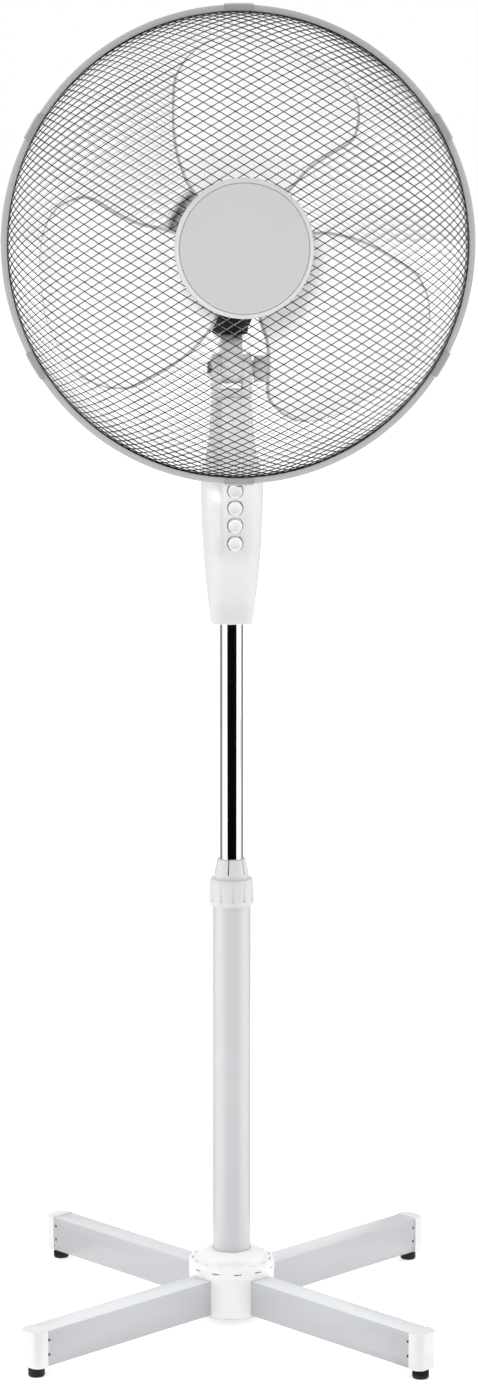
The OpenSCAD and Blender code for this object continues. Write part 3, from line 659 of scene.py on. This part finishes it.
def add_blade(bm, turn):
    """One blade as a front and a back sheet joined round the edge, with its painted edge shade in a layer
    """
    rows, columns = 44, 26
    left, right = smooth_path(leading, rows), smooth_path(trailing, rows)
    rim = bm.verts.layers.float.get("rim")
    front, back = [], []
    for i in range(rows):
        a, b = left[i] * blade_r, right[i] * blade_r
        ra, rb = a.length, b.length
        ta, tb = math.atan2(a.x, a.y), math.atan2(b.x, b.y)
        width = max((b - a).length, 1e-4)
        marks = [0, 0.6 * mm / width, 2.2 * mm / width, 3.4 * mm / width]
        inner = [marks[3] + (1 - 2 * marks[3]) * k / columns for k in range(1, columns)]
        fractions = [min(m, 0.12 * (k + 1)) for k, m in enumerate(marks)] + inner
        fractions += [1 - f for f in reversed(fractions[:4])]
        near_tip = max(0.0, 1 - (rows - 1 - i) / 2)
        front_row, back_row = [], []
        for k, f in enumerate(fractions):
            t, r = ta + (tb - ta) * f, ra + (rb - ra) * f
            flat = Vector((r * math.sin(t), r * math.cos(t)))
            from_edge = min(k, len(fractions) - 1 - k)
            lip = max([0.25, 1.0, 0.8, 0.0][from_edge] if from_edge < 4 else 0.0, near_tip * 0.8)
            if i < 3:
                lip = 0.0 if from_edge else 0.25
            sides = ((front_row, (1.0 + 0.9 * lip) * mm, lip), (back_row, -1.0 * mm, lip * 0.6))
            for row, lift, edge_shade in sides:
                p = blade_point(flat, lift)
                x = p.x * math.cos(turn) + p.y * math.sin(turn)
                z = -p.x * math.sin(turn) + p.y * math.cos(turn)
                vert = bm.verts.new((x, -(blade_plane + p.z), axis_z + z))
                # The rim layer is painted shade: grey along the lip, darkest on the outermost edge and at
                # the tip.
                vert[rim] = min(1.0, edge_shade + (0.6 if from_edge == 0 or i == rows - 1 else 0))
                row.append(vert)
        front.append(front_row)
        back.append(back_row)
    for sheet in (front, back):
        for one, two in zip(sheet, sheet[1:]):
            for k in range(len(one) - 1):
                bm.faces.new([one[k], one[k + 1], two[k + 1], two[k]])
    edge_front, edge_back = (
        [r[0] for r in sheet] + sheet[-1][1:-1] + [r[-1] for r in reversed(sheet)] + sheet[0][-2:0:-1]
        for sheet in (front, back)
    )
    for k in range(len(edge_front)):
        bm.faces.new([edge_front[k - 1], edge_front[k], edge_back[k], edge_back[k - 1]])


def blend(material, factor, colour):
    """Draws a finish towards another colour by a factor"""
    nodes, links = material.node_tree.nodes, material.node_tree.links
    mixed = nodes.new("ShaderNodeMix")
    mixed.data_type = "RGBA"
    links.new(factor, mixed.inputs["Factor"])
    links.new(nodes["surface"].outputs["Color"], mixed.inputs["A"])
    mixed.inputs["B"].default_value = (*colour, 1)
    links.new(mixed.outputs["Result"], nodes["Principled BSDF"].inputs["Base Color"])


blade_plane, first_blade = 99 * mm, -4
blade_bm = bmesh.new()
blade_bm.verts.layers.float.new("rim")
for k in range(3):
    add_blade(blade_bm, -math.radians(first_blade + 120 * k))
blade_white = finish("blade_white", (0.86, 0.86, 0.86), 0.28, shade=0.03, drift=10.0, grain=1200.0,
                     height=0.06, coat=0.3)
# The grey mixed in by the rim layer along each blade's edge is painted shade.
edge_shade_mask = blade_white.node_tree.nodes.new("ShaderNodeAttribute")
edge_shade_mask.attribute_name = "rim"
blend(blade_white, edge_shade_mask.outputs["Fac"], (0.36, 0.37, 0.38))
blades = put_on(new_piece("fan_blades", blade_bm, 40), "rotor", "blade_plastic", blade_white, "fan_blade")
light_up(head_lamp, blades)
hub_back = 76 * mm
hub_outline = fillet([
    (5 * mm, 0), (15 * mm, 0), (15 * mm, 14 * mm), (21.5 * mm, 14 * mm), (21.5 * mm, 0), (24 * mm, 0),
    (24 * mm, 40 * mm), (20 * mm, 46 * mm), (5 * mm, 46 * mm),
], {6: 3 * mm, 7: 3 * mm})
fan_hub = lathe("fan_hub", hub_outline, (0, -hub_back, axis_z), facing)
put_on(fan_hub, "rotor", "blade_plastic", blade_white, "fan_blade")


# Control box: two moulded shells that meet in a seam at the sides. The front one bulges out to a
# rounded face with four round holes for the buttons and runs up into a neck. White plastic, satin.
def cut(piece, sharp_angle, *cutters):
    """Takes closed shapes out of a piece, smooths what is left and removes the shapes from the scene"""
    for cutter in cutters:
        modifier = piece.modifiers.new("cut", "BOOLEAN")
        modifier.operation = "DIFFERENCE"
        modifier.solver = "EXACT"
        modifier.object = cutter
    apply_modifiers(piece, sharp_angle)
    for cutter in cutters:
        bpy.data.objects.remove(cutter)
    return piece


def rod(name, radius, length, place, towards=(0, 0, 1), steps=96):
    """A plain cylinder that starts at a place"""
    return lathe(name, [(0, 0), (radius, 0), (radius, length), (0, length)], place, towards, steps)


def block(name, low, high):
    """A plain box between two corners"""
    bm = bmesh.new()
    bmesh.ops.create_cube(bm, size=1)
    for vert in bm.verts:
        for axis in range(3):
            vert.co[axis] = low[axis] if vert.co[axis] < 0 else high[axis]
    return new_piece(name, bm)


def level_of(pairs):
    """A smooth value against height through pairs of (height, value)"""
    path = smooth_path(pairs, 80)

    def value(z):
        for a, b in zip(path, path[1:]):
            if z <= b.x:
                return a.y + (b.y - a.y) * max(0, z - a.x) / max(b.x - a.x, 1e-9)
        return path[-1].y

    return value


case_low, case_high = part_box("case_front")
case_side = level_of([
    (679, 19), (704, 22.4), (741, 25.8), (785, 28.2), (815, 28.2), (850, 21.5), (892, 18.5),
])
case_face = level_of([
    (679, 18), (700, 24), (725, 38), (748, 50), (780, 50.3), (816, 50), (846, 26), (892, 17),
])
case_rear = 18


def case_loop(z, inset):
    """The box's outline at a height in millimetres, drawn in by an inset"""
    w, f, r = case_side(z) - inset, min(case_face(z), 50) - inset, case_rear - inset
    middle = 5.0
    half = []
    for k in range(15):
        t = math.radians(90 * (k / 14) ** 0.85)
        half.append((w * math.sin(t) ** (2 / 3), -middle - (f - middle) * math.cos(t) ** (2 / 3)))
    half += [(w, -1.0), (w, 4.0)]
    for k in range(1, 7):
        t = k / 6
        x = w * (1 - t) ** 2 + (w - 0.5) * 2 * t * (1 - t) + (w - 9) * t * t
        y = 4.0 * (1 - t) ** 2 + (r - 0.5) * 2 * t * (1 - t) + r * t * t
        half.append((x, y))
    half.append((0, r))
    return half + [(-x, y) for x, y in reversed(half[1:-1])]


def case_solid(name, z0, z1, inset, lip):
    """The box's form between two heights, with its ends rounded by a lip"""
    levels = [(z0, lip), (z0 + 0.3 * lip, 0.3 * lip), (z0 + lip, 0.0)]
    levels += [(z0 + lip + (z1 - z0 - 2 * lip) * k / 52, 0.0) for k in range(1, 52)]
    levels += [(z1 - lip, 0.0), (z1 - 0.3 * lip, 0.3 * lip), (z1, lip)]
    bm = bmesh.new()
    skin(bm, [
        [bm.verts.new((x * mm, y * mm, z * mm)) for x, y in case_loop(z, inset + extra)]
        for z, extra in levels
    ])
    return new_piece(name, bm)


case_plastic = finish("case_plastic", (0.66, 0.66, 0.67), 0.52, shade=0.03, drift=14.0, grain=2200.0,
                      height=0.12, specular=0.35)
seam_y = case_high.y
button_low, button_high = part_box("button_1")
button_r = (button_high.x - button_low.x) / 2
button_levels = []
for i in range(4):
    low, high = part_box(f"button_{i + 1}")
    button_levels.append((low.z + high.z) / 2)
case_bottom, case_top, case_wall = case_low.z / mm, case_high.z / mm, 2.4
half_seam = 0.25 * mm
for label, cut_from, cut_to in (("front", seam_y - half_seam, 1), ("rear", -1, seam_y + half_seam)):
    cutters = [
        block("side", (-1, cut_from, 0), (1, cut_to, 2)),
        case_solid("hollow", case_bottom + case_wall, case_top - case_wall, case_wall, 0.5),
        rod("tube_hole", 11.5 * mm, 0.08, (0, 0, case_low.z - 0.02)),
        rod("neck_hole", 14.0 * mm, 0.08, (0, 0, case_high.z - 0.042)),
    ]
    if label == "front":
        hole_r = button_r + 0.4 * mm
        for z in button_levels:
            cutters.append(rod("button_hole", hole_r, 18 * mm, (0, case_low.y + 10 * mm, z), facing, 48))
            dish = [(0, 0), (hole_r, 0), (button_r + 1.5 * mm, 2 * mm), (0, 2 * mm)]
            cutters.append(lathe("button_dish", dish, (0, case_low.y + 2.2 * mm, z), facing, 48))
    else:
        gland_low, gland_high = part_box("cord_gland")
        gland_z = (gland_low.z + gland_high.z) / 2
        cutters.append(rod("cord_hole", 4.7 * mm, 0.03, (0, 0.03, gland_z), facing, 32))
        for x in (-16.6, 16.6):
            for z in (716, 826):
                cutters.append(rod("screw_hole", 3.3 * mm, 12 * mm, (x * mm, 25 * mm, z * mm), facing, 24))
    shell = cut(case_solid(f"case_{label}_shell", case_bottom, case_top, 0, 1.0), 22, *cutters)
    put_on(shell, "upper", "white_plastic", case_plastic, f"case_{label}")
    if label == "front":
        light_up(neck_lamp, shell)


# Push buttons: four round caps on stems, each with a dished top, one to stop the fan and three for
# its speeds. Gloss white plastic, sliding in the front shell's holes.
button_outline = fillet([
    (0, 0), (2.6 * mm, 0), (2.6 * mm, 4 * mm), (6.4 * mm, 4 * mm), (6.4 * mm, 11.4 * mm),
    (5.7 * mm, 12.0 * mm), (5.1 * mm, 11.9 * mm), (4.2 * mm, 11.2 * mm), (2 * mm, 10.7 * mm),
    (0, 10.6 * mm),
], {4: 0.5 * mm, 5: 0.3 * mm, 7: 0.4 * mm}, 3)
button_plastic = finish("button_plastic", (0.88,) * 3, 0.22, shade=0.02, drift=30.0, grain=1800.0, coat=0.3)
for i, z in enumerate(button_levels):
    button = lathe(f"push_button_{i + 1}", button_outline, (0, button_high.y, z), facing, 64)
    put_on(button, f"button_{i + 1}", "white_plastic", button_plastic, f"button_{i + 1}")


# Upper tube: a chromed steel tube, cut square with its edges broken. It slides in the collet and
# carries the box and the neck.
tube_low, tube_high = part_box("upper_tube")
upper_r = (tube_high.x - tube_low.x) / 2
chrome = finish("chrome", (0.84, 0.85, 0.86), 0.035, metallic=1.0, shade=0.03, drift=8.0, spread=0.03,
                grain=700.0, height=0.01)
upper_tube = upright_tube("upper_tube_chromed", upper_r, tube_low.z, tube_high.z, 0.4 * mm)
put_on(upper_tube, "upper", "chromed_steel", chrome, "upper_tube")


# Collet, height nut, hub, legs, feet, yoke, bracket, knobs and motor castings: moulded, cast or
# pressed parts with small rounded edges, each made from its own solid.
def rounded_copy(name, node, radius):
    """A copy of a CAD node's mesh, merged into one skin, with its edges rounded"""
    bm = bmesh.new()
    bm.from_mesh(bpy.data.objects[node].data)
    bmesh.ops.remove_doubles(bm, verts=bm.verts, dist=2e-6)
    bmesh.ops.dissolve_limit(bm, angle_limit=math.radians(1), verts=bm.verts, edges=bm.edges)
    piece = new_piece(name, bm)
    modifier = piece.modifiers.new("round", "BEVEL")
    modifier.width = radius
    modifier.segments = 2
    modifier.limit_method = "ANGLE"
    modifier.angle_limit = math.radians(32)
    apply_modifiers(piece, 40)
    return piece


hub_plastic = finish("hub_plastic", (0.92,) * 3, 0.36, shade=0.03, grain=1900.0, height=0.10)
knob_plastic = finish("knob_plastic", (0.52, 0.53, 0.54), 0.36, shade=0.06, drift=40.0, grain=1700.0,
                      height=0.10)
leg_paint = finish("leg_paint", (0.465, 0.475, 0.49), 0.34, shade=0.03, drift=12.0, grain=500.0,
                   height=0.10, coat=0.2)
foot_rubber = finish("foot_rubber", (0.010, 0.010, 0.011), 0.66, shade=0.3, drift=80.0, height=0.3,
                     specular=0.3)
zinc = finish("zinc", (0.62, 0.62, 0.60), 0.30, metallic=1.0, shade=0.12, drift=60.0, spread=0.2,
              grain=700.0)
cast_metal = finish("cast_metal", (0.50,) * 3, 0.48, metallic=0.9, shade=0.12, drift=90.0, spread=0.2,
                    grain=900.0, height=0.35)
bracket_paint = finish("bracket_paint", (0.70, 0.70, 0.71), 0.45, drift=60.0, shade=0.05, grain=600.0,
                       height=0.25)
gear_nylon = finish("gear_nylon", (0.72, 0.69, 0.60), 0.38, shade=0.05, drift=60.0, grain=1200.0)
nut_plastic = finish("nut_plastic", (0.30, 0.31, 0.33), 0.38, shade=0.05, drift=40.0, height=0.1)
rounded = [
    ("collet", "base", "white_plastic", case_plastic, 0.35),
    ("height_nut", "height_nut", "white_plastic", case_plastic, 0.5),
    ("hub_body", "base", "white_plastic", hub_plastic, 0.8),
    ("base_plate", "base", "zinc_steel", zinc, 0.3),
    ("feet", "base", "rubber", foot_rubber, 0.8),
    ("neck_yoke", "upper", "white_plastic", case_plastic, 1.2),
    ("tilt_knob", "tilt_knob", "grey_plastic", knob_plastic, 1.0),
    ("tilt_bracket", "tilt", "cast_metal", bracket_paint, 1.3),
    ("motor_front", "head", "cast_metal", cast_metal, 0.8),
    ("motor_rear", "head", "cast_metal", cast_metal, 0.8),
    ("gearbox", "head", "cast_metal", cast_metal, 1.2),
    ("guard_nut", "head", "grey_plastic", knob_plastic, 0.8),
    ("osc_knob", "osc_knob", "grey_plastic", knob_plastic, 0.7),
    ("osc_crank", "osc_crank", "zinc_steel", zinc, 0.3),
    ("osc_link", "osc_link", "zinc_steel", zinc, 0.3),
    ("blade_nut", "rotor", "blade_nut_plastic", nut_plastic, 0.8),
    ("cord_gland", "upper", "grey_plastic", knob_plastic, 0.5),
    ("guide_bush", "upper", "white_plastic", hub_plastic, 0.4),
    ("worm_wheel", "worm_wheel", "gear_plastic", gear_nylon, 0.4),
]
rounded += [(f"leg_{i + 1}", "base", "painted_steel", leg_paint, 1.5) for i in range(4)]
for node, body, slot, material, radius in rounded:
    piece = put_on(rounded_copy(f"{node}_rounded", node, radius * mm), body, slot, material, node)
    if material is leg_paint:
        light_up(leg_lamp, piece)
    if node in ("neck_yoke", "tilt_bracket", "tilt_knob"):
        light_up(head_lamp, piece)


# End caps: white mouldings pushed into the leg ends, a little wider than the tube, with a rounded
# outer face. Each one stands on a foot.
cap_plastic = finish("cap_plastic", (0.78,) * 3, 0.40, shade=0.03, grain=1900.0, height=0.10)
cap_half, cap_start, cap_length, first_leg = 13.1, 248, 13, 40
cap_plan = fillet([
    (247.8, -cap_half), (256.5, -cap_half), (261.6, -8.2),
    (261.6, 8.2), (256.5, cap_half), (247.8, cap_half),
], {1: 4.0, 2: 4.0, 3: 4.0, 4: 4.0}, 5)
leg_low, leg_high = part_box("leg_1")
cap_levels = [
    (leg_low.z - 0.9 * mm, 1.6), (leg_low.z - 0.5 * mm, 0.5), (leg_low.z + 0.8 * mm, 0.0),
    (leg_high.z - 1.2 * mm, 0.0), (leg_high.z + 0.1 * mm, 0.35), (leg_high.z + 0.9 * mm, 1.3),
    (leg_high.z + 1.1 * mm, 2.6),
]
for i in range(4):
    turn = Matrix.Rotation(math.radians(first_leg + 90 * i), 3, "Z")
    bm = bmesh.new()
    rings = []
    for z, inset in cap_levels:
        ring = []
        for x, y in cap_plan:
            reach = x if x < cap_start else x - inset * (x - cap_start) / cap_length
            wide = y * (1 - inset / cap_half)
            ring.append(bm.verts.new(turn @ Vector((reach * mm, wide * mm, z))))
        rings.append(ring)
    skin(bm, rings)
    put_on(new_piece(f"end_cap_{i + 1}", bm), "base", "white_plastic", cap_plastic, "end_caps")


# Hub cover: a stepped white moulding over the hub, domed up to the pole, with a ring of small slots
# in two rows round its side wall.
def build_block_ring_tree():
    """Blocks at even steps round the vertical axis, each turned to face outward"""
    tree, enter, leave = geo_tree("ring_of_blocks", [
        ("Count", "Int", 12), ("Radius", "Float", 0.04), ("Height", "Float", 0.05), ("Start", "Float", 0.0),
        ("Size", "Vector", (0.002, 0.003, 0.001)), ("Material", "Material", None),
    ])
    index = geo_node(tree, "GeometryNodeInputIndex").outputs[0]
    step = math_node(tree, "DIVIDE", 2 * math.pi, enter["Count"])
    angle = math_node(tree, "MULTIPLY_ADD", index, step, enter["Start"])
    x = math_node(tree, "MULTIPLY", math_node(tree, "COSINE", angle), enter["Radius"])
    y = math_node(tree, "MULTIPLY", math_node(tree, "SINE", angle), enter["Radius"])
    place = geo_node(tree, "ShaderNodeCombineXYZ", X=x, Y=y, Z=enter["Height"])
    points = geo_node(tree, "GeometryNodePoints", Count=enter["Count"], Position=place.outputs[0])
    turn = geo_node(tree, "ShaderNodeCombineXYZ", Z=angle)
    cube = geo_node(tree, "GeometryNodeMeshCube", Size=enter["Size"])
    copies = geo_node(tree, "GeometryNodeInstanceOnPoints", Points=points.outputs[0],
                      Instance=cube.outputs[0], Rotation=turn.outputs[0])
    end_tree(tree, copies.outputs[0], enter["Material"], leave)
    return tree


cover_low, cover_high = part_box("hub_cover")
cover_r = (cover_high.x - cover_low.x) / 2
cover_bore = lower_r + 0.2 * mm
cover_outline = fillet([
    (cover_bore, 0), (cover_r, 0), (cover_r, 10.6 * mm), (cover_r - 1.6 * mm, 12 * mm), (33 * mm, 12 * mm),
    (31 * mm, 16 * mm), (26 * mm, 19.6 * mm), (22.4 * mm, 21.5 * mm), (cover_bore, 21.5 * mm),
], {2: 1.2 * mm, 3: 1.2 * mm, 4: 1.0 * mm, 5: 2 * mm, 6: 3 * mm, 7: 0.8 * mm})
first_slot = math.radians(-86)
block_ring_tree = build_block_ring_tree()
slot_rows = [
    grow("cover_slots", block_ring_tree, {
        "Count": count, "Radius": radius, "Height": cover_low.z + height, "Start": first_slot,
        "Size": size, "Material": hub_plastic,
    })
    for count, radius, height, size in (
        (12, cover_r, 6.0 * mm, (9 * mm, 7.5 * mm, 1.3 * mm)),
        (15, 37.2 * mm, 12 * mm, (1.5 * mm, 7.0 * mm, 9 * mm)),
    )
]
cover = lathe("hub_cover_moulded", cover_outline, (0, 0, cover_low.z), steps=128)
cut(cover, 35, *slot_rows)
put_on(cover, "base", "white_plastic", hub_plastic, "hub_cover")


# Pivot boot: a flared black rubber boot over the bracket's head, below the swing bearing between
# bracket and motor housing. It is painted shade: a dark piece put where the opening under the
# housing lies in shade.
boot_points, boot_stretch, boot_centre, boot_squareness = 72, 15.5, 18, 0.7


def boot_ring(bm, half, height):
    """A rounded oblong of points, longer from front to back"""
    ring = []
    for k in range(boot_points):
        c, s = math.cos(math.tau * k / boot_points), math.sin(math.tau * k / boot_points)
        x = math.copysign(abs(c) ** boot_squareness, c) * half
        y = math.copysign(abs(s) ** boot_squareness, s) * (half + boot_stretch) + boot_centre
        ring.append(bm.verts.new((x * mm, y * mm, height * mm)))
    return ring


bm = bmesh.new()
boot_form = ((15.9, 950.5), (16.6, 956.0), (20.6, 965.0), (21.4, 968.6), (20.6, 969.6))
skin(bm, [boot_ring(bm, half, height) for half, height in boot_form])
# The boot's black rubber finish is painted shade for the shaded opening under the housing.
put_on(new_piece("pivot_shade_boot", bm), "tilt", "rubber", foot_rubber)


# Motor housing: a deep moulded bowl over the motor and gearbox, held by one screw at its middle. Two
# groups of upright slots in its back let the air in, with an opening below for the bracket and one
# above for the swing knob's rod. White plastic.
housing_low, housing_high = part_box("motor_housing")
housing_r = (housing_high.x - housing_low.x) / 2
housing_front, housing_back = -housing_low.y, -housing_high.y
outer_form = [
    (housing_r - 0.5 * mm, housing_front), (housing_r, 12 * mm), (housing_r - 0.6 * mm, -30 * mm),
    (housing_r - 3.4 * mm, -58 * mm), (housing_r - 10 * mm, -76 * mm), (housing_r - 22 * mm, -88 * mm),
    (housing_r - 40 * mm, -95 * mm), (12 * mm, housing_back + 0.15 * mm), (0, housing_back),
]
housing_wall = 2.4 * mm
outer_curve = [(p.x, p.y) for p in smooth_path(outer_form, 44)]
inner_curve = [(max(r - housing_wall, 0), max(u, housing_back + housing_wall)) for r, u in outer_curve]
inner_curve = [p for k, p in enumerate(inner_curve) if k == 0 or p != inner_curve[k - 1]]
inner_curve[-1] = (0, housing_back + housing_wall)
housing_outline = [(max(r, 0), u) for r, u in outer_curve] + list(reversed(inner_curve))
housing = lathe("motor_housing_shell", housing_outline, (0, 0, axis_z), facing, 112, 30)
pivot_y = 34 * mm
wheel_low, wheel_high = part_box("worm_wheel")
wheel_mid = (wheel_low + wheel_high) / 2
slot_cutters = [
    rod("bracket_opening", 19 * mm, 0.06, (0, pivot_y, axis_z - 0.094)),
    rod("rod_opening", 5 * mm, 0.05, (wheel_mid.x, wheel_mid.y, axis_z + 0.036), steps=32),
    rod("screw_opening", 1.8 * mm, 0.03, (0, 0.11, axis_z), facing, 24),
]
slot_half = 1.5 * mm
for side in (-1, 1):
    for k in range(6):
        x = side * (14 + 7 * k) * mm
        half_h = (22 - 1.6 * k) * mm
        low, high = (x - slot_half, 0.06, axis_z - half_h), (x + slot_half, 0.11, axis_z + half_h)
        slot_cutters.append(block("slot", low, high))
cut(housing, 30, *slot_cutters)
put_on(housing, "head", "white_plastic", case_plastic, "motor_housing")


# Parts shown as their own solids: they are mostly hidden, and take only a finish. Laminated steel,
# copper windings, ground steel, black plastic and zinc.
def layered(name, colour, dark, scale, axis, roughness, metallic):
    """A finish crossed by fine layers along one axis, such as laminations or windings"""
    material = finish(name, colour, roughness, metallic=metallic, shade=0.1, drift=80.0, spread=0.1,
                      grain=900.0)
    nodes, links = material.node_tree.nodes, material.node_tree.links
    where = nodes.new("ShaderNodeTexCoord")
    wave = nodes.new("ShaderNodeTexWave")
    wave.bands_direction = axis
    wave.inputs["Scale"].default_value = scale
    wave.inputs["Distortion"].default_value = 0.4
    links.new(where.outputs["Object"], wave.inputs["Vector"])
    blend(material, wave.outputs["Fac"], dark)
    return material


laminations = layered("laminations", (0.46, 0.46, 0.47), (0.16, 0.16, 0.17), 320.0, "Y", 0.35, 0.9)
windings = layered("windings", (0.62, 0.27, 0.10), (0.22, 0.08, 0.03), 260.0, "Y", 0.30, 0.7)
ground_steel = layered("ground_steel", (0.60, 0.60, 0.61), (0.48, 0.48, 0.49), 500.0, "Y", 0.22, 1.0)
bronze = finish("bronze", (0.55, 0.36, 0.16), 0.35, metallic=1.0, shade=0.15, drift=80.0)
black_plastic = finish("black_plastic", (0.03, 0.03, 0.032), 0.40, shade=0.2, drift=50.0, height=0.1)
capacitor_grey = finish("capacitor_grey", (0.48, 0.48, 0.46), 0.42, shade=0.08, drift=50.0)
for material, solids in (
    (laminations, ("stator", "rotor_core")),
    (windings, ("coils",)),
    (ground_steel, ("fan_shaft", "pivot_pin")),
    (bronze, ("bearings",)),
    (black_plastic, ("switch_block", "tube_plug")),
    (capacitor_grey, ("capacitor",)),
    (zinc, ("case_screws", "housing_screw", "plate_screws", "pole_bolt", "tilt_bolt", "wheel_stub")),
):
    for node in solids:
        bpy.data.objects[node].data.materials.clear()
        bpy.data.objects[node].data.materials.append(material)
